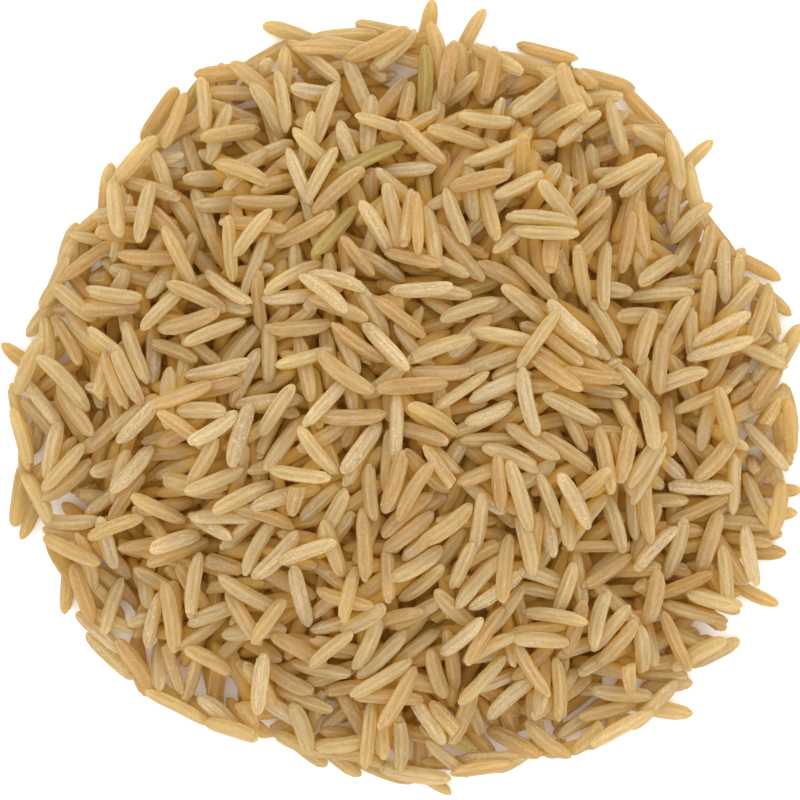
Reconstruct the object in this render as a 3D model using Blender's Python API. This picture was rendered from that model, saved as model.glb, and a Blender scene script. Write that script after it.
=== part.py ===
"""A small heap of brown long-grain rice, as it lies when a scoop of it is poured out.

The heap is one solid: a low mound with a flat base, and the grains that show
fused onto it at their true size. Metres, +Z up, origin in the middle of the base.
"""

import functools
import math

import bmesh
import bpy
import numpy as np

# The size of one average grain
GRAIN_LENGTH = 0.0074
GRAIN_WIDTH = 0.00178
GRAIN_THICKNESS = 0.0015
LENGTH_SPREAD = 0.08
LENGTH_LIMITS = (0.78, 1.17)
WIDTH_LIMITS = (0.88, 1.12)
THICKNESS_LIMITS = (0.92, 1.08)

# How fast a grain narrows to its blunt germ end and to its pointed end
BLUNT_FULLNESS = 2.8
BLUNT_TIP = 0.58
POINTED_FULLNESS = 2.2
POINTED_TIP = 0.72

# The size of the heap: its height, and its radius every 15 degrees, from +X round to +Y
HEAP_HEIGHT = 0.0164
RIM_RADII = (
    0.0445, 0.0441, 0.0416, 0.0433, 0.0430, 0.0417, 0.0424, 0.0429,
    0.0429, 0.0409, 0.0420, 0.0423, 0.0443, 0.0438, 0.0441, 0.0447,
    0.0429, 0.0415, 0.0433, 0.0433, 0.0451, 0.0456, 0.0453, 0.0450,
)  # fmt: skip
SLOPE_POWER = 1.6
RIM_LAYER = 0.0026

# How the heap was poured: loose grains over a mound that they hide
POURED_GRAINS = 1310
POURED_DEPTH = 0.0046
SEED = 7
SPOTS_COMPARED = 16
COVERING_GRAINS = 140
COVERED_INSET = 0.003
TRIES = (6, 30)
SCATTER = 0.0012

# What keeps a grain from a place: a slope past this one, and the rim, which its tips stay inside
STEEP_SLOPE = 0.45
STEEP_COST = 0.0032
STEEPEST = 0.8
RIM_INSET = 0.0004
RIM_SPREAD = 0.0005

# How the grains lie to each other: many follow the swirls that the pour left, each wave with its length
LIKELY_LIE = 0.75
LIE_SPREAD = 0.55
WOBBLE = 0.3
SWIRLS = ((1.1, 0.011, 0.0, 0.6), (1.0, 0.0, 0.009, 1.2), (0.6, 0.007, 0.007, 0.0))

# The grains that stick out of the rim: their middle in millimetres, and where the point looks, in degrees
OUTLYING_GRAINS = (
    (-27.6, 32.5, 236), (-15.6, 39.0, 30), (-12.4, 41.6, -20), (-2.0, 42.1, -12),
    (-21.6, 34.9, 71), (-33.6, 23.2, 86), (-38.1, 17.3, 73), (-40.6, 10.1, 233),
    (-42.7, 4.2, 145), (2.8, 42.2, 78), (7.8, 41.8, 62), (19.1, 37.1, 130),
    (32.9, 27.2, 46), (40.0, 15.3, -26), (43.5, 5.4, 60), (-43.6, -2.0, 284),
    (-43.6, -10.8, 82), (-42.0, -12.3, 251), (-38.1, -20.6, 85), (-29.9, -30.2, 100),
    (-7.4, -40.6, -43), (41.7, -10.3, 180), (39.6, -21.8, -28), (35.5, -28.8, 207),
    (30.0, -32.5, 8), (29.1, -35.1, -11), (13.4, -40.4, 36), (2.6, -42.9, -32),
    (23.1, 36.3, -15), (27.6, 32.8, -45), (-33.2, -29.1, 138), (-34.5, -26.4, -40),
    (-22.3, -35.6, -36), (23.5, -37.8, 218), (44.0, -1.4, -80), (43.2, -4.4, 105),
    (41.2, -12.8, -3), (39.4, -15.3, 180), (40.1, -17.2, -4), (41.3, 11.9, -35),
    (-2.0, -42.2, -20), (-11.4, -39.4, 141), (-24.6, 33.6, 56), (-27.0, -33.4, 145),
)  # fmt: skip

# The height map that the grains are poured onto
MAP_REACH = 0.052
MAP_PITCH = 0.00025
MAP_CELLS = round(2 * MAP_REACH / MAP_PITCH)
NEAR = 3 * MAP_PITCH

# Where a grain is felt against what is under it, as shares of its half length and half width
STATIONS = np.linspace(-0.96, 0.96, 17)
LANES = np.array((-0.9, -0.5, 0.0, 0.5, 0.9))
THINNEST = 1e-9  # metres, so that no width is divided by at the tips

# The solid: how many grains it shows, and their few sides, with a ring of corners either side of the middle
SHOWN_GRAINS = 405
GRAIN_SIDES = 5
GRAIN_BANDS = 3
GRAIN_RING = 0.56
TIP_BELT = 0.01
FLOOR_GAP = 0.00004

# The mound under the grains: a disc of coarse faces, each corner a little above the mean height there
MOUND_GRID = 14
MOUND_LIFT = 0.0005
MOUND_EDGE = 0.0006
MOUND_RIM_INSET = 0.0010
LOCAL_REACH = 0.0016

BRAN_COLOUR = (0.50, 0.32, 0.13, 1.0)
BRAN_ROUGHNESS = 0.55


def clear_scene():
    for existing in list(bpy.data.objects):
        bpy.data.objects.remove(existing)


def rim_radius(angle):
    """The heap's radius in a direction, eased between the measured ones."""
    radii = np.array(RIM_RADII)
    place = (angle % (2 * math.pi)) * len(radii) / (2 * math.pi)
    first = np.floor(place).astype(int)
    ease = (1 - np.cos(math.pi * (place - first))) / 2
    return radii[first % len(radii)] * (1 - ease) + radii[(first + 1) % len(radii)] * ease


def dome(x, y):
    """The height that the heap is poured up to, rounded on top and steepest at the rim."""
    share = np.hypot(x, y) / rim_radius(np.arctan2(y, x))
    return HEAP_HEIGHT * (1 - np.minimum(share, 1.0) ** SLOPE_POWER)


def taper(share):
    """A grain's thickness along its length, from -1, the blunt germ end, to 1, the pointed end."""
    blunt = (1 - np.abs(share) ** BLUNT_FULLNESS) ** BLUNT_TIP
    pointed = (1 - np.abs(share) ** POINTED_FULLNESS) ** POINTED_TIP
    return np.where(share < 0, blunt, pointed)


def cell_of(place):
    return np.clip(((place + MAP_REACH) / MAP_PITCH).astype(int), 0, MAP_CELLS - 1)


@functools.cache
def map_centres():
    """The x and the y of the middle of every cell of the height map."""
    centres = (np.arange(MAP_CELLS) + 0.5) * MAP_PITCH - MAP_REACH
    return np.meshgrid(centres, centres)


def resting_poses(ground, x, y, heading, size):
    """The height and slope at which a grain comes to rest at each of several spots.

    The grain is a straight rod that can tilt, so it rests on the highest pair of
    points under it that lie on either side of its middle.
    """
    length, width, thickness = size
    along = STATIONS * length / 2
    across = width / 2 * taper(STATIONS)[:, None] * LANES
    belly = thickness / 2 * taper(STATIONS)[:, None] * np.sqrt(1 - LANES**2)
    cos = np.cos(heading)[:, None, None]
    sin = np.sin(heading)[:, None, None]
    column = cell_of(x[:, None, None] + cos * along[:, None] - sin * across)
    row = cell_of(y[:, None, None] + sin * along[:, None] + cos * across)
    needed = (ground[row, column] + belly).max(axis=2)

    back, front = along[along < 0], along[along > 0]
    behind, ahead = needed[:, along < 0], needed[:, along > 0]
    chord = behind[:, :, None] * front - ahead[:, None, :] * back[:, None]
    chord = (chord / (front - back[:, None])).reshape(len(x), -1)
    highest = chord.argmax(axis=1)
    i, j = np.unravel_index(highest, (len(back), len(front)))
    spot = np.arange(len(x))
    slope = (ahead[spot, j] - behind[spot, i]) / (front[j] - back[i])
    return chord[spot, highest], slope


def lay_down(ground, owner, index, grain):
    """Raises the height map to the grain's upper side, and notes whose side it is."""
    x, y, heading, length, width, thickness, height, slope = grain
    half = length / 2
    low_x, low_y = cell_of(np.array((x - half, y - half)))
    high_x, high_y = cell_of(np.array((x + half, y + half))) + 1
    window = (slice(low_y, high_y), slice(low_x, high_x))
    map_x, map_y = (centres[window] for centres in map_centres())
    along = (map_x - x) * math.cos(heading) + (map_y - y) * math.sin(heading)
    across = (map_y - y) * math.cos(heading) - (map_x - x) * math.sin(heading)
    girth = taper(np.clip(along / half, -1, 1))
    reach = np.maximum(width / 2 * girth, THINNEST)
    bulge = np.sqrt(np.clip(1 - (across / reach) ** 2, 0, 1))
    top = height + slope * along + thickness / 2 * girth * bulge
    raised = (np.abs(along) < half) & (np.abs(across) < reach) & (top > ground[window])
    ground[window][raised] = top[raised]
    owner[window][raised] = index


def neediest_spot(ground, draw):
    """Of a few random spots inside the rim, the one furthest below the heap's final height."""
    angle = draw.uniform(0, 2 * math.pi, SPOTS_COMPARED)
    radius = np.sqrt(draw.uniform(0, 1, SPOTS_COMPARED)) * rim_radius(angle)
    x, y = radius * np.cos(angle), radius * np.sin(angle)
    around = ((0, 0), (NEAR, NEAR), (NEAR, -NEAR), (-NEAR, NEAR), (-NEAR, -NEAR))
    level = sum(ground[cell_of(y + dy), cell_of(x + dx)] for dx, dy in around) / len(around)
    lack = np.maximum(dome(x, y), RIM_LAYER) - level
    return x[lack.argmax()], y[lack.argmax()]


def local_mean(ground, reach):
    """The height map averaged over a square of cells, to each side of every cell."""
    steps = round(reach / MAP_PITCH)
    for axis in (0, 1):
        shifted = (np.roll(ground, step, axis) for step in range(-steps, steps + 1))
        ground = sum(shifted) / (2 * steps + 1)
    return ground


def deepest_gap(ground):
    """The place inside the rim that lies furthest below the heap's final height."""
    x, y = map_centres()
    lack = np.maximum(dome(x, y), RIM_LAYER) - local_mean(ground, MAP_PITCH)
    lack[np.hypot(x, y) > rim_radius(np.arctan2(y, x)) - COVERED_INSET] = 0
    row, column = np.unravel_index(np.round(lack, 6).argmax(), lack.shape)
    return x[row, column], y[row, column]


def random_size(draw):
    return (
        GRAIN_LENGTH * np.clip(draw.normal(1, LENGTH_SPREAD), *LENGTH_LIMITS),
        GRAIN_WIDTH * draw.uniform(*WIDTH_LIMITS),
        GRAIN_THICKNESS * draw.uniform(*THICKNESS_LIMITS),
    )


def swirl(x, y):
    """The heading that the grains near a place tend to have."""
    turn = 0.9
    for size, wave_x, wave_y, phase in SWIRLS:
        turn += size * math.sin((x / wave_x if wave_x else 0) + (y / wave_y if wave_y else 0) + phase)
    return turn


def pulled_in(x, y, heading, length, inset):
    """Moves spots towards the middle until both tips of the grain lie inside the rim."""
    excess = np.zeros_like(x)
    for end in (-length / 2, length / 2):
        tip_x, tip_y = x + end * np.cos(heading), y + end * np.sin(heading)
        past_rim = np.hypot(tip_x, tip_y) - rim_radius(np.arctan2(tip_y, tip_x))
        excess = np.maximum(excess, past_rim + inset)
    share = 1 - excess / np.maximum(np.hypot(x, y), MAP_PITCH)
    return x * share, y * share


def settle(ground, owner, grains, x, y, heading, size):
    """Adds a grain at the lowest and least steep of some places, unless it would slide off all of them."""
    height, slope = resting_poses(ground, x, y, heading, size)
    best = (height + STEEP_COST * np.maximum(np.abs(slope) - STEEP_SLOPE, 0)).argmin()
    if abs(slope[best]) > STEEPEST:
        return
    grain = (x[best], y[best], heading[best], *size, height[best], slope[best])
    lay_down(ground, owner, len(grains), grain)
    grains.append(grain)


def drop_grain(ground, owner, grains, draw, spot_x, spot_y):
    """Drops one grain near a spot: it lies along the swirl or any way, and slides a little."""
    tries = draw.integers(*TRIES)
    x = spot_x + draw.normal(0, SCATTER, tries)
    y = spot_y + draw.normal(0, SCATTER, tries)
    size = random_size(draw)
    lie = draw.uniform(0, 2 * math.pi)
    if draw.uniform() < LIKELY_LIE:
        lie = swirl(spot_x, spot_y) + draw.normal(0, LIE_SPREAD) + math.pi * draw.integers(0, 2)
    heading = lie + draw.normal(0, WOBBLE, tries)
    x, y = pulled_in(x, y, heading, size[0], draw.normal(RIM_INSET, RIM_SPREAD))
    settle(ground, owner, grains, x, y, heading, size)


def pour():
    """Lays the outlying grains on the floor, drops the others where the heap is low, then covers the deepest gaps."""
    draw = np.random.default_rng(SEED)
    ground = np.maximum(dome(*map_centres()) - POURED_DEPTH, 0.0)
    owner = np.full(ground.shape, -1)
    grains = []
    for x, y, turn in OUTLYING_GRAINS:
        x, y, heading = np.array(((x / 1000,), (y / 1000,), (math.radians(turn),)))
        settle(ground, owner, grains, x, y, heading, random_size(draw))
    for _ in range(POURED_GRAINS):
        drop_grain(ground, owner, grains, draw, *neediest_spot(ground, draw))
    for _ in range(COVERING_GRAINS):
        drop_grain(ground, owner, grains, draw, *deepest_gap(ground))
    return grains, ground, owner


def shown_grains(grains, owner):
    """The outlying grains, then those that show most from above, largest first."""
    cells = np.bincount(owner[owner >= 0], minlength=len(grains))
    poured = np.argsort(-cells, kind="stable")
    poured = poured[poured >= len(OUTLYING_GRAINS)]
    return [*grains[: len(OUTLYING_GRAINS)], *(grains[index] for index in poured)][:SHOWN_GRAINS]


def mound_object(ground):
    """The mound that carries the grains: a square grid rounded into a disc, raised and closed below."""
    level = local_mean(ground, LOCAL_REACH)
    mesh = bmesh.new()
    bmesh.ops.create_grid(mesh, x_segments=MOUND_GRID, y_segments=MOUND_GRID, size=1.0)
    for vertex in mesh.verts:
        u, v, _ = vertex.co
        u, v = u * math.sqrt(1 - v * v / 2), v * math.sqrt(1 - u * u / 2)
        radius = float(rim_radius(math.atan2(v, u))) - MOUND_RIM_INSET
        x, y = u * radius, v * radius
        height = level[cell_of(np.float64(y)), cell_of(np.float64(x))] + MOUND_LIFT
        vertex.co = (x, y, max(height, MOUND_EDGE))
    edges = [edge for edge in mesh.edges if edge.is_boundary]
    wall = bmesh.ops.extrude_edge_only(mesh, edges=edges)["geom"]
    for item in wall:
        if isinstance(item, bmesh.types.BMVert):
            item.co.z = 0.0
    bmesh.ops.contextual_create(mesh, geom=[edge for edge in mesh.edges if edge.is_boundary])
    bmesh.ops.triangulate(mesh, faces=mesh.faces)
    bmesh.ops.recalc_face_normals(mesh, faces=mesh.faces)
    return object_from(mesh, "rice_heap")


def grain_object(index, grain):
    """A grain with few sides: a coarse ball drawn out to the grain's length and laid where it rests."""
    x, y, heading, length, width, thickness, height, slope = grain
    mesh = bmesh.new()
    bmesh.ops.create_uvsphere(mesh, u_segments=GRAIN_SIDES, v_segments=GRAIN_BANDS, radius=1.0)
    for vertex in mesh.verts:
        across, up, along = vertex.co
        belt = math.hypot(across, up)
        at_tip = belt < TIP_BELT
        along = math.copysign(1.0 if at_tip else GRAIN_RING, along)
        girth = 0.0 if at_tip else float(taper(along)) / belt
        forward = along * length / 2
        side = across * girth * width / 2
        vertex.co = (
            x + forward * math.cos(heading) - side * math.sin(heading),
            y + forward * math.sin(heading) + side * math.cos(heading),
            max(height + slope * forward + up * girth * thickness / 2, FLOOR_GAP),
        )
    bmesh.ops.recalc_face_normals(mesh, faces=mesh.faces)
    return object_from(mesh, f"grain_{index:03d}")


def object_from(mesh, name):
    data = bpy.data.meshes.new(name)
    mesh.to_mesh(data)
    mesh.free()
    made = bpy.data.objects.new(name, data)
    bpy.context.scene.collection.objects.link(made)
    return made


def fuse(mound, grains):
    """Joins the grains to the mound in one solid, and removes the separate grains."""
    loose = bpy.data.collections.new("loose_grains")
    bpy.context.scene.collection.children.link(loose)
    for grain in grains:
        bpy.context.scene.collection.objects.unlink(grain)
        loose.objects.link(grain)
    union = mound.modifiers.new("grains", "BOOLEAN")
    union.operation = "UNION"
    union.operand_type = "COLLECTION"
    union.collection = loose
    union.solver = "EXACT"
    bpy.context.view_layer.objects.active = mound
    bpy.ops.object.modifier_apply(modifier=union.name)
    for grain in grains:
        bpy.data.objects.remove(grain)
    bpy.data.collections.remove(loose)


def keep_outer_skin(heap):
    """Fills the hollows sealed between grains and drops loose scraps: only the largest skin stays."""
    mesh = bmesh.new()
    mesh.from_mesh(heap.data)
    bmesh.ops.triangulate(mesh, faces=mesh.faces)
    skins = sorted(skins_of(mesh), key=len)
    spare = [face for skin in skins[:-1] for face in skin]
    bmesh.ops.delete(mesh, geom=spare, context="FACES")
    mesh.to_mesh(heap.data)
    mesh.free()


def skins_of(mesh):
    """Sets of faces that hang together across their edges."""
    skins = []
    unseen = set(mesh.faces)
    while unseen:
        skin = {unseen.pop()}
        growing = list(skin)
        while growing:
            near = {face for edge in growing.pop().edges for face in edge.link_faces} - skin
            skin |= near
            growing.extend(near)
        unseen -= skin
        skins.append(skin)
    return skins


def bran_material():
    material = bpy.data.materials.new("brown_rice")
    material.use_nodes = True
    shader = material.node_tree.nodes["Principled BSDF"]
    shader.inputs["Base Color"].default_value = BRAN_COLOUR
    shader.inputs["Roughness"].default_value = BRAN_ROUGHNESS
    shader.inputs["Metallic"].default_value = 0.0
    return material


def main():
    clear_scene()
    grains, ground, owner = pour()
    heap = mound_object(ground)
    shown = shown_grains(grains, owner)
    fuse(heap, [grain_object(index, grain) for index, grain in enumerate(shown)])
    keep_outer_skin(heap)
    heap.data.materials.append(bran_material())


main()
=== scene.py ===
"""A heap of loose brown long-grain rice on a white table, seen from straight above.

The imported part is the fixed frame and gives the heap's place and size. The grains
are laid by the same rule and from the same numbers as in the part, so each of them
lies where the solid has it. Units are metres, and +Z is up.
"""

import functools
import math

import bmesh
import bpy
import numpy as np
from mathutils import Matrix, Vector


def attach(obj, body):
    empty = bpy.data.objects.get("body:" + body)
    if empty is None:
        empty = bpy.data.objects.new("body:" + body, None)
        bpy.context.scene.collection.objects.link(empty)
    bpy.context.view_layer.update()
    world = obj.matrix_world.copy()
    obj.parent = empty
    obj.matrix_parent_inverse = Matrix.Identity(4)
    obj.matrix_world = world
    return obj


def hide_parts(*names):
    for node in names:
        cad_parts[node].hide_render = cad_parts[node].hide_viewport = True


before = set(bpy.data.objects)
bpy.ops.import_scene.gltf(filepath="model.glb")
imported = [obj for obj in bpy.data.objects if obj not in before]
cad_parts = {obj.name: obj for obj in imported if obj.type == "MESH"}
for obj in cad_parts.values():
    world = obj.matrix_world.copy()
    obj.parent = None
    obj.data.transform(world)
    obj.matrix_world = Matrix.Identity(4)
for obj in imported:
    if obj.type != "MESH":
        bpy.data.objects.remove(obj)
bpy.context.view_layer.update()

bl_info = {
    "name": "Heap of Brown Rice",
    "version": (1, 0, 0),
    "blender": (4, 5, 0),
    "location": "3D View > Sidebar > Rice",
    "description": "Pours a heap of brown long-grain rice and lights it on a white table",
    "category": "Object",
}

HEAP_NODE = "rice_heap"
BODY = "root"
MM = 0.001

# How the grains lie: the same numbers as in the part
LENGTH_SPREAD = 0.08
LENGTH_LIMITS = (0.78, 1.17)
WIDTH_LIMITS = (0.88, 1.12)
THICKNESS_LIMITS = (0.92, 1.08)
BLUNT_FULLNESS = 2.8
BLUNT_TIP = 0.58
POINTED_FULLNESS = 2.2
POINTED_TIP = 0.72
RIM_RADII = (
    0.0445, 0.0441, 0.0416, 0.0433, 0.0430, 0.0417, 0.0424, 0.0429,
    0.0429, 0.0409, 0.0420, 0.0423, 0.0443, 0.0438, 0.0441, 0.0447,
    0.0429, 0.0415, 0.0433, 0.0433, 0.0451, 0.0456, 0.0453, 0.0450,
)  # fmt: skip
SLOPE_POWER = 1.6
RIM_LAYER = 0.0026
SPOTS_COMPARED = 16
COVERING_GRAINS = 140
COVERED_INSET = 0.003
TRIES = (6, 30)
SCATTER = 0.0012
STEEP_SLOPE = 0.45
STEEP_COST = 0.0032
STEEPEST = 0.8
RIM_INSET = 0.0004
RIM_SPREAD = 0.0005

# How the grains lie to each other: many follow the swirls that the pour left, each wave with its length
LIKELY_LIE = 0.75
LIE_SPREAD = 0.55
WOBBLE = 0.3
SWIRL_START = 0.9
SWIRLS = ((1.1, 0.011, 0.0, 0.6), (1.0, 0.0, 0.009, 1.2), (0.6, 0.007, 0.007, 0.0))

# The height map of the heap, and the points under a grain that are tried against it
MAP_REACH = 0.052
MAP_PITCH = 0.00025
MAP_CELLS = round(2 * MAP_REACH / MAP_PITCH)
NEAR = 3 * MAP_PITCH
STATIONS = np.linspace(-0.96, 0.96, 17)
LANES = np.array((-0.9, -0.5, 0.0, 0.5, 0.9))
THINNEST = 1e-9

# The grains that stick out of the rim: their middle in millimetres, and where the point looks, in degrees
OUTLYING_GRAINS = (
    (-27.6, 32.5, 236), (-15.6, 39.0, 30), (-12.4, 41.6, -20), (-2.0, 42.1, -12),
    (-21.6, 34.9, 71), (-33.6, 23.2, 86), (-38.1, 17.3, 73), (-40.6, 10.1, 233),
    (-42.7, 4.2, 145), (2.8, 42.2, 78), (7.8, 41.8, 62), (19.1, 37.1, 130),
    (32.9, 27.2, 46), (40.0, 15.3, -26), (43.5, 5.4, 60), (-43.6, -2.0, 284),
    (-43.6, -10.8, 82), (-42.0, -12.3, 251), (-38.1, -20.6, 85), (-29.9, -30.2, 100),
    (-7.4, -40.6, -43), (41.7, -10.3, 180), (39.6, -21.8, -28), (35.5, -28.8, 207),
    (30.0, -32.5, 8), (29.1, -35.1, -11), (13.4, -40.4, 36), (2.6, -42.9, -32),
    (23.1, 36.3, -15), (27.6, 32.8, -45), (-33.2, -29.1, 138), (-34.5, -26.4, -40),
    (-22.3, -35.6, -36), (23.5, -37.8, 218), (44.0, -1.4, -80), (43.2, -4.4, 105),
    (41.2, -12.8, -3), (39.4, -15.3, 180), (40.1, -17.2, -4), (41.3, 11.9, -35),
    (-2.0, -42.2, -20), (-11.4, -39.4, 141), (-24.6, 33.6, 56), (-27.0, -33.4, 145),
)  # fmt: skip

# The shape of one grain, from its blunt germ end to its point
GRAIN_SIDES = 12
GRAIN_RINGS = 9
RING_SHARES = (-1.0, -0.95, -0.80, -0.50, -0.17, 0.18, 0.52, 0.80, 0.94, 1.0)
RING_GIRTHS = (0.0, 0.47, 0.79, 0.97, 1.0, 1.0, 0.96, 0.73, 0.38, 0.0)
FURROW_ANGLES = (60, 120, 240, 300)
FURROW_DEPTH = 0.87
EDGE_ANGLES = (0, 180)
# How far from a line, in degrees, and from the axis, as a share of the radius, a point still counts
LINE_REACH = 1
ON_AXIS = 0.01
# How pale an edge is painted, between a furrow's painted shade, at 0, and a ridge's painted highlight, at
# 1
EDGE_RIDGE = 0.4
# The middle of a bent grain's centre line, as a share of its bend, and how far its germ corner drops
BEND_CENTRE = -0.2
GERM_DROP = 0.1
# How far each model of a grain is bent, and how far its germ corner is cut back, in millimetres
GRAIN_MODELS = ((0.05, 0.30), (0.22, 0.42), (-0.20, 0.25), (0.38, 0.34), (-0.34, 0.45), (0.12, 0.15))
# Where a broken grain is snapped off, as a share of its half length, and how oblique the break is
BREAKS = ((0.35, 0.25), (-0.10, -0.35), (0.62, 0.45))
BREAK_LEAN = 0.15
# A face along the side has at most this many corners, and the face that closes a break has more
SIDE_CORNERS = 5
SNAPPED_SIDE_ANGLE = math.radians(50)

# The broken pieces that have slipped into the gaps between the top grains
GAP_TRIALS = 700
GAP_SEED = 5
GAP_TRIES = 24
GAP_DEPTH = 0.0018
GAP_COVER = 0.0009
GAP_REACH = 0.0025
GAP_RIM_SHARE = 0.15
GAP_RIM_INSET = 0.0012
GAP_RIM_LEVEL = 0.0024
GAP_SCATTER = 0.0006
GAP_LENGTHS = (0.42, 0.62)
GAP_GIRTHS = (0.86, 1.0)
GAP_STEEPEST = 2.5

# The square that the heap's own surface is averaged over, and where depths under it fade at the rim, for
# the painted shade deep in the heap
LEVEL_REACH = 0.00125
RIM_FADE = 0.007

# How one grain differs from the next: how far it rolls, how dark it is, and where its pattern starts
KIND_SEED = 23
ROLL_SPREAD = math.radians(24)
TONE_SPREAD = (2.2, 2.2)
PATTERN_SPREAD = 400.0

# The patterns on bran, in waves a millimetre along the grain and across it: streaks of 3.3 by 0.28 mm,
# clouds of 2.2 by 1.4 mm, specks of 0.38 by 0.17 mm and a grit of 0.33 by 0.09 mm
STREAK_WAVES = (0.3, 3.6, 3.6)
CLOUD_WAVES = (0.45, 0.7, 0.7)
SPECK_WAVES = (2.6, 6.0, 6.0)
GRIT_WAVES = (3.0, 11.0, 11.0)
GRIT_SPAN = (0.2, 0.8)
GRIT_HEIGHT = 0.35
PATTERN_ROUGHNESS = 0.55

# The relief of the bran in metres, its refraction, and how its gloss varies about the kind's own
BRAN_RELIEF = 0.00016
BRAN_IOR = 1.45
GLOSS_BELOW = 0.06
GLOSS_RANGE = 0.14

# Bran is this much darker between its streaks and lighter on them, and this much darker on a dark grain
STREAK_DARK = 0.66
STREAK_LIGHT = 1.18
DARK_GRAIN = 0.70
SPECKS_TO_WEAR = 2.4

# What the bran's own colour turns to, the painted shade in its furrows and deep in the heap, the painted
# highlight on its ridges, and the light that comes through the thin grains
CLOUD_COLOUR = "#B4935C"
FURROW_SHADE_COLOUR = "#8E6C3A"
RIDGE_HIGHLIGHT_COLOUR = "#E3D4AE"
SPECK_COLOUR = "#EFE3C9"
RUBBED_COLOUR = "#E9D8B4"
GERM_COLOUR = "#E5D3AE"
BREAK_COLOUR = "#D8C298"
DEPTH_SHADE_COLOUR = "#E8B956"
GLOW_COLOUR = "#EBD596"
GLOW_SHARE = 0.55

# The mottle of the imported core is 2 mm wide, and the paint's unevenness 170 mm, in waves a metre
MOTTLE_WAVES = (500.0, 500.0, 500.0)
MOTTLE_SPAN = (0.35, 0.65)
MOTTLE_FACTORS = (0.6, 1.3)
MOTTLE_RELIEF = 0.0003
PACKED_ROUGHNESS = 0.7
PAINT_WAVES = (6.0, 6.0, 6.0)
PAINT_DARK = 0.99
PAINT_ROUGHNESS = 0.8


def linear(code):
    """An sRGB hex colour as the linear red, green and blue that Blender works in."""
    shares = (int(code[i : i + 2], 16) / 255 for i in (1, 3, 5))
    return tuple(s / 12.92 if s <= 0.04045 else ((s + 0.055) / 1.055) ** 2.4 for s in shares)


def exact(length):
    """A length property to the micrometre, because Blender stores it a little off."""
    return round(length, 6)


def size_property(name, description, default):
    return bpy.props.FloatProperty(
        name=name, description=description, default=default, min=0.0, unit="LENGTH", precision=5
    )


def colour_property(name, description, code):
    return bpy.props.FloatVectorProperty(
        name=name, description=description, default=linear(code), size=3,
        min=0.0, max=1.0, subtype="COLOR",
    )  # fmt: skip


class RiceHeapSettings(bpy.types.PropertyGroup):
    """The sizes of the heap and of its grains."""

    grain_length: size_property("Grain Length", "Middle length of a whole grain", 0.0074)
    grain_width: size_property("Grain Width", "Width of a grain that lies flat", 0.00178)
    grain_thickness: size_property("Grain Thickness", "Thickness of a grain that lies flat", 0.0015)
    heap_height: size_property("Heap Height", "Height that the heap is poured up to", 0.0164)
    poured_depth: size_property("Poured Depth", "Depth of separate grains over the core", 0.0046)
    core_cover: size_property("Core Cover", "Depth of the core's skin under the heap's top", 0.0044)
    poured_grains: bpy.props.IntProperty(
        name="Poured Grains", description="Grains dropped on the heap", default=1310, min=0
    )
    seed: bpy.props.IntProperty(
        name="Seed", description="Start of the random draws that the pour makes", default=7
    )


class RiceBranSettings(bpy.types.PropertyGroup):
    """The colours of the bran on each kind of grain."""

    straw: colour_property("Straw Bran", "Light skin of the most common grains", "#CEBB8D")
    wheat: colour_property("Wheat Bran", "Warmer skin of riper grains", "#C8AC7A")
    tan: colour_property("Tan Bran", "Brownish skin of the darkest grains", "#BF9C6A")
    rubbed: colour_property("Rubbed Bran", "Skin worn through to the pale grain", "#D4C29A")
    chalky: colour_property("Chalky Grain", "Whitish grain that is opaque inside", "#D9CBA8")
    green: colour_property("Green Bran", "Greenish skin of unripe grains", "#A39750")
    amber: colour_property("Amber Bran", "Reddish skin of weathered grains", "#B08848")
    # The core's colour is a painted shade: the golden brown of grains where hardly any light reaches
    core: colour_property("Packed Core", "Grains deep in the heap", "#C08E44")


class RiceStageSettings(bpy.types.PropertyGroup):
    """The table, the light and the camera."""

    table: colour_property("Table", "Colour of the white table", "#F7F6F5")
    camera_height: size_property("Camera Height", "Height of the camera over the table", 0.6)
    view_width: size_property("View Width", "Width of the table that the camera sees", 0.0912)
    view_shift: size_property("View Shift", "How far the camera stands left of the heap", 0.000285)
    key_power: bpy.props.FloatProperty(
        name="Key Power", description="Power of the large soft lamp", default=3.7, min=0.0,
        unit="POWER",
    )  # fmt: skip
    sky_strength: bpy.props.FloatProperty(
        name="Sky Strength", description="Brightness of the even light all round", default=1.81, min=0.0
    )


def rim_radius(angle):
    """The heap's radius in a direction, eased between the measured ones."""
    radii = np.array(RIM_RADII)
    place = (angle % (2 * math.pi)) * len(radii) / (2 * math.pi)
    first = np.floor(place).astype(int)
    ease = (1 - np.cos(math.pi * (place - first))) / 2
    return radii[first % len(radii)] * (1 - ease) + radii[(first + 1) % len(radii)] * ease


def dome(x, y):
    """The height that the heap is poured up to, rounded on top and steepest at the rim."""
    share = np.hypot(x, y) / rim_radius(np.arctan2(y, x))
    height = exact(bpy.context.scene.rice_heap.heap_height)
    return height * (1 - np.minimum(share, 1.0) ** SLOPE_POWER)


def taper(share):
    """A grain's thickness along its length, from -1, the blunt germ end, to 1, the pointed end."""
    blunt = (1 - np.abs(share) ** BLUNT_FULLNESS) ** BLUNT_TIP
    pointed = (1 - np.abs(share) ** POINTED_FULLNESS) ** POINTED_TIP
    return np.where(share < 0, blunt, pointed)


def cell_of(place):
    return np.clip(((place + MAP_REACH) / MAP_PITCH).astype(int), 0, MAP_CELLS - 1)


@functools.cache
def map_centres():
    """The x and the y of the middle of every cell of the height map."""
    centres = (np.arange(MAP_CELLS) + 0.5) * MAP_PITCH - MAP_REACH
    return np.meshgrid(centres, centres)


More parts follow.
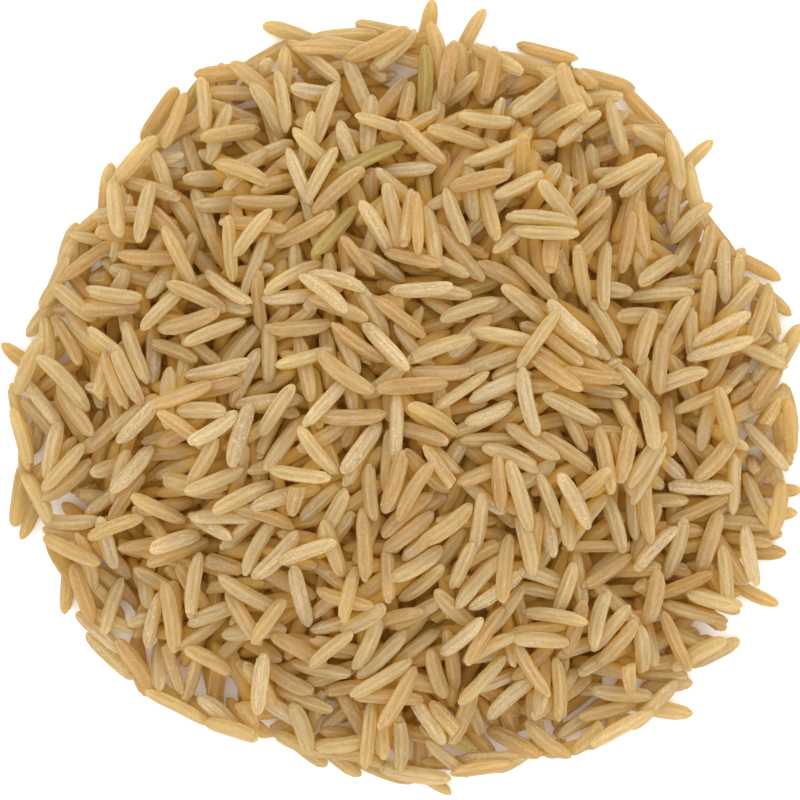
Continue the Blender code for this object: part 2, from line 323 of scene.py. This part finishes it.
def resting_poses(ground, x, y, heading, size):
    """The height and slope at which a grain comes to rest at each of several spots.

    The grain is a straight rod that can tilt, so it rests on the highest pair of
    points under it that lie on either side of its middle.
    """
    length, width, thickness = size
    along = STATIONS * length / 2
    across = width / 2 * taper(STATIONS)[:, None] * LANES
    belly = thickness / 2 * taper(STATIONS)[:, None] * np.sqrt(1 - LANES**2)
    cos = np.cos(heading)[:, None, None]
    sin = np.sin(heading)[:, None, None]
    column = cell_of(x[:, None, None] + cos * along[:, None] - sin * across)
    row = cell_of(y[:, None, None] + sin * along[:, None] + cos * across)
    needed = (ground[row, column] + belly).max(axis=2)

    back, front = along[along < 0], along[along > 0]
    behind, ahead = needed[:, along < 0], needed[:, along > 0]
    chord = behind[:, :, None] * front - ahead[:, None, :] * back[:, None]
    chord = (chord / (front - back[:, None])).reshape(len(x), -1)
    highest = chord.argmax(axis=1)
    i, j = np.unravel_index(highest, (len(back), len(front)))
    spot = np.arange(len(x))
    slope = (ahead[spot, j] - behind[spot, i]) / (front[j] - back[i])
    return chord[spot, highest], slope


def lay_down(ground, grain):
    """Raises the height map to the grain's upper side."""
    x, y, heading, length, width, thickness, height, slope = grain
    half = length / 2
    low_x, low_y = cell_of(np.array((x - half, y - half)))
    high_x, high_y = cell_of(np.array((x + half, y + half))) + 1
    window = (slice(low_y, high_y), slice(low_x, high_x))
    map_x, map_y = (centres[window] for centres in map_centres())
    along = (map_x - x) * math.cos(heading) + (map_y - y) * math.sin(heading)
    across = (map_y - y) * math.cos(heading) - (map_x - x) * math.sin(heading)
    girth = taper(np.clip(along / half, -1, 1))
    reach = np.maximum(width / 2 * girth, THINNEST)
    bulge = np.sqrt(np.clip(1 - (across / reach) ** 2, 0, 1))
    top = height + slope * along + thickness / 2 * girth * bulge
    raised = (np.abs(along) < half) & (np.abs(across) < reach) & (top > ground[window])
    ground[window][raised] = top[raised]


def neediest_spot(ground, draw):
    """Of a few random spots inside the rim, the one furthest below the heap's final height."""
    angle = draw.uniform(0, 2 * math.pi, SPOTS_COMPARED)
    radius = np.sqrt(draw.uniform(0, 1, SPOTS_COMPARED)) * rim_radius(angle)
    x, y = radius * np.cos(angle), radius * np.sin(angle)
    around = ((0, 0), (NEAR, NEAR), (NEAR, -NEAR), (-NEAR, NEAR), (-NEAR, -NEAR))
    level = sum(ground[cell_of(y + dy), cell_of(x + dx)] for dx, dy in around) / len(around)
    lack = np.maximum(dome(x, y), RIM_LAYER) - level
    return x[lack.argmax()], y[lack.argmax()]


def local_mean(ground, reach):
    """The height map averaged over a square of cells, to each side of every cell."""
    steps = round(reach / MAP_PITCH)
    for axis in (0, 1):
        shifted = (np.roll(ground, step, axis) for step in range(-steps, steps + 1))
        ground = sum(shifted) / (2 * steps + 1)
    return ground


def deepest_gap(ground):
    """The place inside the rim that lies furthest below the heap's final height."""
    x, y = map_centres()
    lack = np.maximum(dome(x, y), RIM_LAYER) - local_mean(ground, MAP_PITCH)
    lack[np.hypot(x, y) > rim_radius(np.arctan2(y, x)) - COVERED_INSET] = 0
    row, column = np.unravel_index(np.round(lack, 6).argmax(), lack.shape)
    return x[row, column], y[row, column]


def random_size(draw):
    heap = bpy.context.scene.rice_heap
    return (
        exact(heap.grain_length) * np.clip(draw.normal(1, LENGTH_SPREAD), *LENGTH_LIMITS),
        exact(heap.grain_width) * draw.uniform(*WIDTH_LIMITS),
        exact(heap.grain_thickness) * draw.uniform(*THICKNESS_LIMITS),
    )


def swirl(x, y):
    """The heading that the grains near a place tend to have."""
    turn = SWIRL_START
    for size, wave_x, wave_y, phase in SWIRLS:
        turn += size * math.sin((x / wave_x if wave_x else 0) + (y / wave_y if wave_y else 0) + phase)
    return turn


def pulled_in(x, y, heading, length, inset):
    """Moves spots towards the middle until both tips of the grain lie inside the rim."""
    excess = np.zeros_like(x)
    for end in (-length / 2, length / 2):
        tip_x, tip_y = x + end * np.cos(heading), y + end * np.sin(heading)
        past_rim = np.hypot(tip_x, tip_y) - rim_radius(np.arctan2(tip_y, tip_x))
        excess = np.maximum(excess, past_rim + inset)
    share = 1 - excess / np.maximum(np.hypot(x, y), MAP_PITCH)
    return x * share, y * share


def settle(ground, grains, x, y, heading, size):
    """Adds a grain at the lowest and least steep of some places, unless it would slide off all of them."""
    height, slope = resting_poses(ground, x, y, heading, size)
    best = (height + STEEP_COST * np.maximum(np.abs(slope) - STEEP_SLOPE, 0)).argmin()
    if abs(slope[best]) > STEEPEST:
        return
    grain = (x[best], y[best], heading[best], *size, height[best], slope[best])
    lay_down(ground, grain)
    grains.append(grain)


def drop_grain(ground, grains, draw, spot_x, spot_y):
    """Drops one grain near a spot: it lies along the swirl or any way, and slides a little."""
    tries = draw.integers(*TRIES)
    x = spot_x + draw.normal(0, SCATTER, tries)
    y = spot_y + draw.normal(0, SCATTER, tries)
    size = random_size(draw)
    lie = draw.uniform(0, 2 * math.pi)
    if draw.uniform() < LIKELY_LIE:
        lie = swirl(spot_x, spot_y) + draw.normal(0, LIE_SPREAD) + math.pi * draw.integers(0, 2)
    heading = lie + draw.normal(0, WOBBLE, tries)
    x, y = pulled_in(x, y, heading, size[0], draw.normal(RIM_INSET, RIM_SPREAD))
    settle(ground, grains, x, y, heading, size)


def pour():
    """Lays the outlying grains, drops the others where the heap is low, and covers the deepest gaps."""
    heap = bpy.context.scene.rice_heap
    draw = np.random.default_rng(heap.seed)
    ground = np.maximum(dome(*map_centres()) - exact(heap.poured_depth), 0.0)
    grains = []
    for x, y, turn in OUTLYING_GRAINS:
        x, y, heading = np.array(((x / 1000,), (y / 1000,), (math.radians(turn),)))
        settle(ground, grains, x, y, heading, random_size(draw))
    for _ in range(heap.poured_grains):
        drop_grain(ground, grains, draw, *neediest_spot(ground, draw))
    for _ in range(COVERING_GRAINS):
        drop_grain(ground, grains, draw, *deepest_gap(ground))
    return grains, ground


def drop_gap_pieces(ground):
    """Drops short broken pieces into the deep gaps, where they lie well under the top grains."""
    heap = bpy.context.scene.rice_heap
    draw = np.random.default_rng(GAP_SEED)
    map_x, map_y = map_centres()
    level = np.maximum(local_mean(ground, GAP_REACH), GAP_RIM_LEVEL)
    from_rim = rim_radius(np.arctan2(map_y, map_x)) - np.hypot(map_x, map_y)
    cover = GAP_COVER * np.clip(from_rim / RIM_FADE, GAP_RIM_SHARE, 1)
    pieces = []
    for _ in range(GAP_TRIALS):
        gaps = np.flatnonzero((level - ground > GAP_DEPTH) & (from_rim > GAP_RIM_INSET))
        if not len(gaps):
            break
        spot = gaps[draw.integers(len(gaps))]
        x = map_x.flat[spot] + draw.normal(0, GAP_SCATTER, GAP_TRIES)
        y = map_y.flat[spot] + draw.normal(0, GAP_SCATTER, GAP_TRIES)
        heading = draw.uniform(0, 2 * math.pi, GAP_TRIES)
        girth = draw.uniform(*GAP_GIRTHS)
        size = (
            heap.grain_length * draw.uniform(*GAP_LENGTHS),
            heap.grain_width * girth,
            heap.grain_thickness * girth,
        )
        x, y = pulled_in(x, y, heading, size[0], RIM_INSET)
        height, slope = resting_poses(ground, x, y, heading, size)
        over = height - level[cell_of(y), cell_of(x)] + cover[cell_of(y), cell_of(x)]
        best = over.argmin()
        if over[best] > 0 or abs(slope[best]) > GAP_STEEPEST:
            continue
        piece = (x[best], y[best], heading[best], *size, height[best], slope[best])
        lay_down(ground, piece)
        pieces.append(piece)
    return pieces


def deselect_all():
    bpy.ops.object.select_all(action="DESELECT")


def points_of(mesh):
    points = np.empty(len(mesh.vertices) * 3)
    mesh.vertices.foreach_get("co", points)
    return points.reshape(-1, 3)


def select_points(chosen):
    """Selects only these points of the mesh in edit mode."""
    bpy.ops.mesh.select_all(action="DESELECT")
    mesh = bmesh.from_edit_mesh(bpy.context.edit_object.data)
    mesh.verts.ensure_lookup_table()
    for index in chosen:
        mesh.verts[index].select_set(True)
    mesh.select_flush(True)
    bmesh.update_edit_mesh(bpy.context.edit_object.data)


def on_lines(turns, angles):
    """Which points of a ball lie on one of the lines that run along it at these angles."""
    return np.abs((turns[:, None] - angles + 180) % 360 - 180).min(axis=1) < LINE_REACH


def model_grain(bend, germ_cut):
    """A whole grain along X, shaped ring by ring from a ball, with its germ end at -X."""
    heap = bpy.context.scene.rice_heap
    radius = heap.grain_width / 2
    deselect_all()
    bpy.ops.mesh.primitive_uv_sphere_add(
        segments=GRAIN_SIDES, ring_count=GRAIN_RINGS, radius=radius, rotation=(0, math.pi / 2, 0)
    )
    bpy.ops.object.transform_apply(location=False, rotation=True, scale=False)
    grain = bpy.context.object
    ball = points_of(grain.data) / radius
    turns = np.degrees(np.arctan2(ball[:, 2], ball[:, 1])) % 360
    on_axis = np.hypot(ball[:, 1], ball[:, 2]) < ON_AXIS
    in_furrow = on_lines(turns, FURROW_ANGLES) & ~on_axis
    ridges = np.where(on_lines(turns, EDGE_ANGLES), EDGE_RIDGE, 1.0)
    ridges[in_furrow | on_axis] = 0.0
    grain.data.attributes.new("ridge", "FLOAT", "POINT").data.foreach_set("value", ridges)
    levels = -np.cos(np.arange(GRAIN_RINGS + 1) * math.pi / GRAIN_RINGS)
    rings = np.abs(ball[:, :1] - levels).argmin(axis=1)

    bpy.ops.object.mode_set(mode="EDIT")
    for ring, (share, girth) in enumerate(zip(RING_SHARES, RING_GIRTHS)):
        select_points(np.flatnonzero(rings == ring))
        belt = math.sqrt(1 - levels[ring] ** 2)
        if girth:
            flatness = heap.grain_thickness / heap.grain_width
            bpy.ops.transform.resize(
                value=(1, girth / belt, girth / belt * flatness), center_override=(0, 0, 0)
            )
        forward = share * heap.grain_length / 2 - levels[ring] * radius
        # A third is the mean of the squared share, so a bend leaves the grain centred
        sideways = bend * MM * (share**2 - 1 / 3)
        bpy.ops.transform.translate(value=(forward, sideways, 0))
    select_points(np.flatnonzero(in_furrow))
    bpy.ops.transform.resize(
        value=(1, FURROW_DEPTH, FURROW_DEPTH), center_override=(0, bend * MM * BEND_CENTRE, 0)
    )
    select_points(np.flatnonzero((rings <= 1) & (turns < 180) & (turns > 0) & ~on_axis))
    bpy.ops.transform.translate(value=(germ_cut * MM, 0, -GERM_DROP * MM))
    bpy.ops.object.mode_set(mode="OBJECT")
    return grain


def snap_grain(grain, place, slant):
    """Breaks off a grain's pointed part and closes the break with a flat face."""
    bpy.ops.object.mode_set(mode="EDIT")
    bpy.ops.mesh.select_all(action="SELECT")
    half = bpy.context.scene.rice_heap.grain_length / 2
    bpy.ops.mesh.bisect(
        plane_co=(place * half, 0, 0), plane_no=(1, slant, BREAK_LEAN), use_fill=True, clear_outer=True
    )
    bpy.ops.object.mode_set(mode="OBJECT")
    return grain


def taken_apart(grain):
    """A modelled grain as plain values: points, faces, which faces are a break, and the points' ridges."""
    mesh = grain.data
    faces = [tuple(face.vertices) for face in mesh.polygons]
    broken = [len(face.vertices) > SIDE_CORNERS for face in mesh.polygons]
    ridge = np.empty(len(mesh.vertices))
    mesh.attributes["ridge"].data.foreach_get("value", ridge)
    model = (points_of(mesh), faces, broken, ridge)
    bpy.data.objects.remove(grain)
    bpy.data.meshes.remove(mesh)
    return model


def fitted(model):
    """A broken model stretched to a whole grain's length, to be sized by its own length."""
    shape, *others = model
    stretch = bpy.context.scene.rice_heap.grain_length / np.ptp(shape[:, 0])
    return shape * (stretch, 1, 1), *others


def turn_matrix(roll, slope, heading):
    """Rolls a grain about its length, tilts it to its slope and turns it to its heading."""
    tilt = Matrix.Rotation(-math.atan(slope), 3, "Y")
    turn = Matrix.Rotation(heading, 3, "Z")
    return np.array(turn @ tilt @ Matrix.Rotation(roll, 3, "X"))


def depth_of(points, level):
    """How far points lie under the heap's surface, for the painted shade deep in the heap, fading to
    nothing at the rim, where light comes in.
    """
    x, y, z = points.T
    from_rim = rim_radius(np.arctan2(y, x)) - np.hypot(x, y)
    return (level[cell_of(y), cell_of(x)] - z) * np.clip(from_rim / RIM_FADE, 0, 1)


def join_grains(name, grains, models, level, draw):
    """One mesh of many grains: each is a copy of a model, sized, turned and laid where it rests."""
    heap = bpy.context.scene.rice_heap
    nominal = np.array((heap.grain_length, heap.grain_width, heap.grain_thickness))
    points, faces, places, marks, breaks, ridges = [], [], [], [], [], []
    count = 0
    for x, y, heading, length, width, thickness, height, slope in grains:
        shape, shape_faces, shape_breaks, shape_ridges = models[draw.integers(len(models))]
        roll = draw.normal(0, ROLL_SPREAD) + math.pi * draw.integers(2)
        tone = draw.beta(*TONE_SPREAD)
        offset = draw.uniform(0, PATTERN_SPREAD, 3)
        sized = shape * (np.array((length, width, thickness)) / nominal)
        sized[:, 0] -= (sized[:, 0].min() + sized[:, 0].max()) / 2
        laid = sized @ turn_matrix(roll, slope, heading).T + (x, y, height)
        laid[:, 2] += max(0.0, -laid[:, 2].min())
        points.append(laid)
        places.append(sized / MM + offset)
        # The depth under the heap's surface, which sets how much painted shade a point gets
        depth = depth_of(laid, level) / MM
        marks.append(np.column_stack((shape[:, 0] / nominal[0] * 2, np.full(len(shape), tone), depth)))
        faces += [tuple(index + count for index in face) for face in shape_faces]
        breaks += shape_breaks
        ridges.append(shape_ridges)
        count += len(shape)
    mesh = bpy.data.meshes.new(name)
    mesh.from_pydata(np.concatenate(points).tolist(), [], faces)
    for title, kind, domain, values in (
        ("grain_place", "FLOAT_VECTOR", "POINT", np.concatenate(places)),
        ("grain_marks", "FLOAT_VECTOR", "POINT", np.concatenate(marks)),
        ("grain_break", "FLOAT", "FACE", np.array(breaks, float)),
        ("grain_ridge", "FLOAT", "POINT", np.concatenate(ridges)),
    ):
        layer = mesh.attributes.new(title, kind, domain)
        layer.data.foreach_set("vector" if kind == "FLOAT_VECTOR" else "value", values.ravel())
    made = bpy.data.objects.new(name, mesh)
    bpy.context.scene.collection.objects.link(made)
    deselect_all()
    made.select_set(True)
    bpy.context.view_layer.objects.active = made
    bpy.ops.object.shade_smooth_by_angle(angle=SNAPPED_SIDE_ANGLE)
    return made


def add_node(tree, kind, settings=None, inputs=None):
    """Adds a node, makes its settings, and gives its inputs values or links them."""
    node = tree.nodes.new(kind)
    for name, value in (settings or {}).items():
        setattr(node, name, value)
    for name, value in (inputs or {}).items():
        if isinstance(value, bpy.types.NodeSocket):
            tree.links.new(value, node.inputs[name])
        else:
            node.inputs[name].default_value = value
    return node


def new_material(name):
    material = bpy.data.materials.new(name)
    material.use_nodes = True
    material.node_tree.nodes.clear()
    return material, material.node_tree


def opaque(colour, factor=1.0):
    """A linear colour made lighter or darker, with full alpha."""
    return (*(min(1.0, channel * factor) for channel in colour), 1.0)


def uneven(tree, place, waves, detail=2.0):
    """An uneven pattern on a place, with so many waves to each unit of that place."""
    scaled = add_node(
        tree, "ShaderNodeVectorMath", {"operation": "MULTIPLY"}, {0: place, 1: waves}
    )
    return add_node(
        tree, "ShaderNodeTexNoise", {},
        {
            "Vector": scaled.outputs["Vector"],
            "Scale": 1.0,
            "Detail": detail,
            "Roughness": PATTERN_ROUGHNESS,
        },
    ).outputs["Fac"]  # fmt: skip


def tinted(tree, base, tint, value, span, share):
    """Runs a colour into a tint, up to a share of it, where a value goes through a span."""
    start, end = span
    strength = add_node(
        tree, "ShaderNodeMapRange", {"interpolation_type": "SMOOTHSTEP"},
        {"Value": value, "From Min": start, "From Max": end, "To Min": 0.0, "To Max": share},
    )  # fmt: skip
    return add_node(
        tree, "ShaderNodeMix", {"data_type": "RGBA"},
        {0: strength.outputs["Result"], 6: base, 7: tint},
    ).outputs[2]  # fmt: skip


def bran_material(name, colour, wear, gloss):
    """Bran: the thin oily skin of hulled rice.

    It is satin and lets some light through. Its lengthwise furrows are painted with shade
    and its ridges with a painted highlight, and deep in the heap it is painted a golden
    shade. It has fine pale streaks and specks where the mill has rubbed it. The germ end
    is paler, and a break shows the pale grain inside.
    """
    material, tree = new_material(name)
    place = add_node(tree, "ShaderNodeAttribute", {"attribute_name": "grain_place"}).outputs["Vector"]
    marks = add_node(tree, "ShaderNodeAttribute", {"attribute_name": "grain_marks"}).outputs["Vector"]
    broken = add_node(tree, "ShaderNodeAttribute", {"attribute_name": "grain_break"}).outputs["Fac"]
    ridge = add_node(tree, "ShaderNodeAttribute", {"attribute_name": "grain_ridge"}).outputs["Fac"]
    # The marks are the place along the grain, how dark the grain is, and the depth in millimetres that the
    # painted shade deep in the heap follows
    parts = add_node(tree, "ShaderNodeSeparateXYZ", {}, {0: marks}).outputs
    streaks = uneven(tree, place, STREAK_WAVES, 3.0)
    clouds = uneven(tree, place, CLOUD_WAVES)
    specks = uneven(tree, place, SPECK_WAVES, 1.0)
    grit = uneven(tree, place, GRIT_WAVES)

    skin = tinted(
        tree, opaque(colour, STREAK_DARK), opaque(colour, STREAK_LIGHT), streaks, (0.3, 0.7), 1.0
    )
    skin = tinted(tree, skin, opaque(colour, DARK_GRAIN), parts["Y"], (0.0, 1.0), 0.42)
    # Each tint over the last: its colour, the value that brings it, from where to where, and its share
    for code, value, span, share in (
        (CLOUD_COLOUR, clouds, (0.55, 0.8), 0.5),
        # Painted shade in the furrows and a painted highlight on the ridges
        (FURROW_SHADE_COLOUR, ridge, (0.5, 0.0), 0.4),
        (RIDGE_HIGHLIGHT_COLOUR, ridge, (0.6, 1.0), 0.24),
        (SPECK_COLOUR, specks, (0.56, 0.70), wear * SPECKS_TO_WEAR),
        (RUBBED_COLOUR, streaks, (0.6, 0.75), wear),
        (GERM_COLOUR, parts["X"], (-0.82, -0.98), 0.35),
        (BREAK_COLOUR, broken, (0.0, 1.0), 1.0),
        # Painted shade: a golden colour that grows with depth under the heap's surface
        (DEPTH_SHADE_COLOUR, parts["Z"], (-0.5, 1.4), 0.95),
    ):
        skin = tinted(tree, skin, opaque(linear(code)), value, span, share)

    start, end = GRIT_SPAN
    grit_level = add_node(
        tree, "ShaderNodeMapRange", {"interpolation_type": "SMOOTHSTEP"},
        {"Value": grit, "From Min": start, "From Max": end},
    ).outputs["Result"]  # fmt: skip
    roughness, height = (
        add_node(
            tree, "ShaderNodeMath", {"operation": "MULTIPLY_ADD"}, {0: grit_level, 1: size, 2: level}
        ).outputs[0]
        for size, level in ((GLOSS_RANGE, gloss - GLOSS_BELOW), (GRIT_HEIGHT, streaks))
    )
    bump = add_node(
        tree, "ShaderNodeBump", {}, {"Strength": 1.0, "Distance": BRAN_RELIEF, "Height": height}
    )
    surface = add_node(
        tree, "ShaderNodeBsdfPrincipled", {},
        {
            "Base Color": skin,
            "Roughness": roughness,
            "IOR": BRAN_IOR,
            "Normal": bump.outputs["Normal"],
        },
    )  # fmt: skip
    glow = add_node(tree, "ShaderNodeBsdfTranslucent", {}, {"Color": opaque(linear(GLOW_COLOUR))})
    body = add_node(
        tree, "ShaderNodeMixShader", {}, {0: GLOW_SHARE, 1: surface.outputs[0], 2: glow.outputs[0]}
    )
    add_node(tree, "ShaderNodeOutputMaterial", {}, {"Surface": body.outputs[0]})
    return material


def packed_material(name, colour):
    """Grains packed deep in the heap: dull, mottled and painted a golden brown that stands in for their
    shade, because hardly any light reaches them.
    """
    material, tree = new_material(name)
    place = add_node(tree, "ShaderNodeTexCoord").outputs["Object"]
    mottle = uneven(tree, place, MOTTLE_WAVES, 4.0)
    dark, light = (opaque(colour, factor) for factor in MOTTLE_FACTORS)
    skin = tinted(tree, dark, light, mottle, MOTTLE_SPAN, 1.0)
    bump = add_node(
        tree, "ShaderNodeBump", {}, {"Strength": 0.6, "Distance": MOTTLE_RELIEF, "Height": mottle}
    )
    surface = add_node(
        tree, "ShaderNodeBsdfPrincipled", {},
        {"Base Color": skin, "Roughness": PACKED_ROUGHNESS, "Normal": bump.outputs["Normal"]},
    )  # fmt: skip
    add_node(tree, "ShaderNodeOutputMaterial", {}, {"Surface": surface.outputs[0]})
    return material


def table_material(colour):
    """A white painted table top: matt, with the faintest unevenness."""
    material, tree = new_material("white_paint")
    place = add_node(tree, "ShaderNodeTexCoord").outputs["Object"]
    shade = uneven(tree, place, PAINT_WAVES)
    paint = add_node(
        tree, "ShaderNodeMix", {"data_type": "RGBA"},
        {0: shade, 6: opaque(colour, PAINT_DARK), 7: opaque(colour)},
    ).outputs[2]  # fmt: skip
    surface = add_node(
        tree, "ShaderNodeBsdfPrincipled", {}, {"Base Color": paint, "Roughness": PAINT_ROUGHNESS}
    )
    add_node(tree, "ShaderNodeOutputMaterial", {}, {"Surface": surface.outputs[0]})
    return material


# Each kind of grain: its piece, the share of the heap, how worn its bran is, and how dull it is
GRAIN_KINDS = (
    ("straw", 0.42, 0.24, 0.44),
    ("wheat", 0.25, 0.20, 0.44),
    ("tan", 0.13, 0.20, 0.48),
    ("rubbed", 0.11, 0.60, 0.52),
    ("chalky", 0.03, 0.35, 0.55),
    ("green", 0.025, 0.15, 0.42),
    ("amber", 0.015, 0.15, 0.44),
)
# The share of snapped grains, and how worn and how dull they are
SNAPPED_SHARE = 0.03
SNAPPED_WEAR = 0.3
SNAPPED_GLOSS = 0.5

# The core is shaped from a flat disc with rings of faces, and its relief ends a little inside its edge
CORE_SIDES = 72
CORE_STEPS = 14
CORE_BASE = 0.001
CORE_FOOT = 0.0004
CORE_RELIEF = 0.0005
CORE_RELIEF_REACH = 0.9
CORE_SMOOTH_ANGLE = math.radians(60)
FACES_UP = 0.9
# The lumps of the relief, about 3 mm apart, wander in waves of 6 and 7 mm, all in radians a metre
LUMP_WAVES = (2100, 1900)
WANDER_WAVES = (1100, 900)
WANDER_SIZE = 2

# The table and the two lamps, the second with a share of the first one's power
TABLE_WIDTH = 6.0
KEY_PLACE = (0.22, 0.85, 0.75)
KEY_WIDTH = 0.9
FILL_PLACE = (-0.1, -0.2, 1.1)
FILL_WIDTH = 1.0
FILL_SHARE = 0.35
CAMERA_NEAR_LIMIT = 0.01


def lumps(x, y):
    """Lumps in wandering rows, as packed grains lie, from -1 to 1."""
    across = np.sin(x * LUMP_WAVES[0] + np.sin(y * WANDER_WAVES[1]) * WANDER_SIZE)
    along = np.sin(y * LUMP_WAVES[1] + np.sin(x * WANDER_WAVES[0]) * WANDER_SIZE)
    return across * along


def finish_piece(piece, material):
    """Gives a piece its finish, and lets it ride on the part and stand for the solid heap."""
    piece.data.materials.append(material)
    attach(piece, BODY)
    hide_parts(HEAP_NODE)


class RICE_OT_packed_core(bpy.types.Operator):
    """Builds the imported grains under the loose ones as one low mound"""

    bl_idname = "rice.packed_core"
    bl_label = "Packed Core"

    def execute(self, context):
        deselect_all()
        bpy.ops.mesh.primitive_cylinder_add(
            vertices=CORE_SIDES, radius=1.0, depth=CORE_BASE, location=(0, 0, CORE_BASE / 2),
            end_fill_type="NGON",
        )  # fmt: skip
        core = context.object
        bpy.ops.object.transform_apply(location=True, rotation=False, scale=False)
        bpy.ops.object.mode_set(mode="EDIT")
        mesh = bmesh.from_edit_mesh(core.data)
        bpy.ops.mesh.select_all(action="DESELECT")
        for face in mesh.faces:
            face.select_set(face.normal.z > FACES_UP)
        bmesh.update_edit_mesh(core.data)
        for _ in range(CORE_STEPS - 1):
            bpy.ops.mesh.inset(thickness=1 / CORE_STEPS, depth=0)
        bpy.ops.mesh.poke()
        bpy.ops.object.mode_set(mode="OBJECT")
        self.shape(core)
        core.name = "packed_core"
        core.data.name = "packed_core"
        bpy.ops.object.shade_smooth_by_angle(angle=CORE_SMOOTH_ANGLE)
        finish_piece(core, packed_material("packed_rice", context.scene.rice_bran.core))
        return {"FINISHED"}

    def shape(self, core):
        """Moves the rings to the heap's outline and raises them to lie under the loose grains."""
        heap = bpy.context.scene.rice_heap
        disc = points_of(core.data)
        share = np.hypot(disc[:, 0], disc[:, 1])
        angle = np.arctan2(disc[:, 1], disc[:, 0])
        reach = (1 - heap.core_cover / heap.heap_height) ** (1 / SLOPE_POWER)
        radius = share * reach * rim_radius(angle)
        x, y = radius * np.cos(angle), radius * np.sin(angle)
        z = np.maximum(dome(x, y) - heap.core_cover, 0.0)
        z += CORE_RELIEF * lumps(x, y) * (share < CORE_RELIEF_REACH) * (share > 0) + CORE_FOOT
        z[disc[:, 2] < CORE_BASE / 2] = 0.0
        core.data.vertices.foreach_set("co", np.column_stack((x, y, z)).ravel())
        core.data.update()


class RICE_OT_loose_grains(bpy.types.Operator):
    """Pours the separate grains, and joins those of each kind in one piece"""

    bl_idname = "rice.loose_grains"
    bl_label = "Loose Grains"

    def execute(self, context):
        grains, ground = pour()
        gap_pieces = drop_gap_pieces(ground)
        level = local_mean(ground, LEVEL_REACH)
        whole = [taken_apart(model_grain(*facts)) for facts in GRAIN_MODELS]
        snapped = [
            taken_apart(snap_grain(model_grain(*facts), *place))
            for facts, place in zip(GRAIN_MODELS, BREAKS)
        ]
        draw = np.random.default_rng(KIND_SEED)
        shares = [share for _, share, _, _ in GRAIN_KINDS]
        kinds = draw.choice(len(GRAIN_KINDS), len(grains), p=np.array(shares) / sum(shares))
        breaks = draw.uniform(0, 1, len(grains)) < SNAPPED_SHARE
        breaks[: len(OUTLYING_GRAINS)] = False
        bran = context.scene.rice_bran
        for number, (kind, _, wear, gloss) in enumerate(GRAIN_KINDS):
            chosen = [grains[i] for i in np.flatnonzero((kinds == number) & ~breaks)]
            material = bran_material(f"bran_{kind}", getattr(bran, kind), wear, gloss)
            finish_piece(join_grains(f"grains_{kind}", chosen, whole, level, draw), material)
        chosen = [grains[i] for i in np.flatnonzero(breaks)]
        material = bran_material("bran_snapped", bran.wheat, SNAPPED_WEAR, SNAPPED_GLOSS)
        finish_piece(join_grains("grains_snapped", chosen, snapped, level, draw), material)
        short = [fitted(model) for model in snapped]
        finish_piece(join_grains("grains_in_gaps", gap_pieces, short, level, draw), material)
        return {"FINISHED"}


class RICE_OT_stage(bpy.types.Operator):
    """Lays the white table, hangs the lamps and sets the camera straight above the heap"""

    bl_idname = "rice.stage"
    bl_label = "Table, Light and Camera"

    def execute(self, context):
        stage = context.scene.rice_stage
        deselect_all()
        bpy.ops.mesh.primitive_plane_add(size=TABLE_WIDTH, location=(0, 0, 0))
        table = context.object
        table.name = "white_table"
        table.data.materials.append(table_material(stage.table))

        self.add_lamp("key_lamp", KEY_PLACE, KEY_WIDTH, stage.key_power)
        self.add_lamp("fill_lamp", FILL_PLACE, FILL_WIDTH, stage.key_power * FILL_SHARE)

        world = bpy.data.worlds.new("studio")
        world.use_nodes = True
        tree = world.node_tree
        tree.nodes.clear()
        white_light = {"Color": (1, 1, 1, 1), "Strength": stage.sky_strength}
        sky = add_node(tree, "ShaderNodeBackground", {}, white_light)
        add_node(tree, "ShaderNodeOutputWorld", {}, {"Surface": sky.outputs[0]})
        context.scene.world = world
        context.scene.view_settings.view_transform = "Standard"

        place = (-stage.view_shift, 0, stage.camera_height)
        bpy.ops.object.camera_add(location=place, rotation=(0, 0, 0))
        camera = context.object
        camera.data.lens = camera.data.sensor_width * stage.camera_height / stage.view_width
        camera.data.clip_start = CAMERA_NEAR_LIMIT
        context.scene.camera = camera
        return {"FINISHED"}

    def add_lamp(self, name, place, width, power):
        """Hangs a round lamp that looks at the heap."""
        bpy.ops.object.light_add(type="AREA", location=place)
        lamp = bpy.context.object
        lamp.name = name
        lamp.rotation_euler = Vector(place).to_track_quat("Z", "Y").to_euler()
        lamp.data.shape = "DISK"
        lamp.data.size = width
        lamp.data.energy = power
        lamp.visible_camera = False


class RICE_PT_panel(bpy.types.Panel):
    """The sizes and colours of the heap, and a button for each piece"""

    bl_idname = "RICE_PT_panel"
    bl_label = "Rice Heap"
    bl_space_type = "VIEW_3D"
    bl_region_type = "UI"
    bl_category = "Rice"

    def draw(self, context):
        scene = context.scene
        for settings in (scene.rice_heap, scene.rice_bran, scene.rice_stage):
            column = self.layout.column(align=True)
            for name in settings.__annotations__:
                column.prop(settings, name)
        for operator in OPERATORS:
            self.layout.operator(operator.bl_idname)


OPERATORS = (RICE_OT_packed_core, RICE_OT_loose_grains, RICE_OT_stage)
CLASSES = (RiceHeapSettings, RiceBranSettings, RiceStageSettings, *OPERATORS, RICE_PT_panel)


def register():
    for item in CLASSES:
        bpy.utils.register_class(item)
    bpy.types.Scene.rice_heap = bpy.props.PointerProperty(type=RiceHeapSettings)
    bpy.types.Scene.rice_bran = bpy.props.PointerProperty(type=RiceBranSettings)
    bpy.types.Scene.rice_stage = bpy.props.PointerProperty(type=RiceStageSettings)


def unregister():
    del bpy.types.Scene.rice_heap
    del bpy.types.Scene.rice_bran
    del bpy.types.Scene.rice_stage
    for item in reversed(CLASSES):
        bpy.utils.unregister_class(item)


def main():
    register()
    bpy.ops.rice.packed_core()
    bpy.ops.rice.loose_grains()
    bpy.ops.rice.stage()
    bpy.context.view_layer.update()


if __name__ == "__main__":
    main()
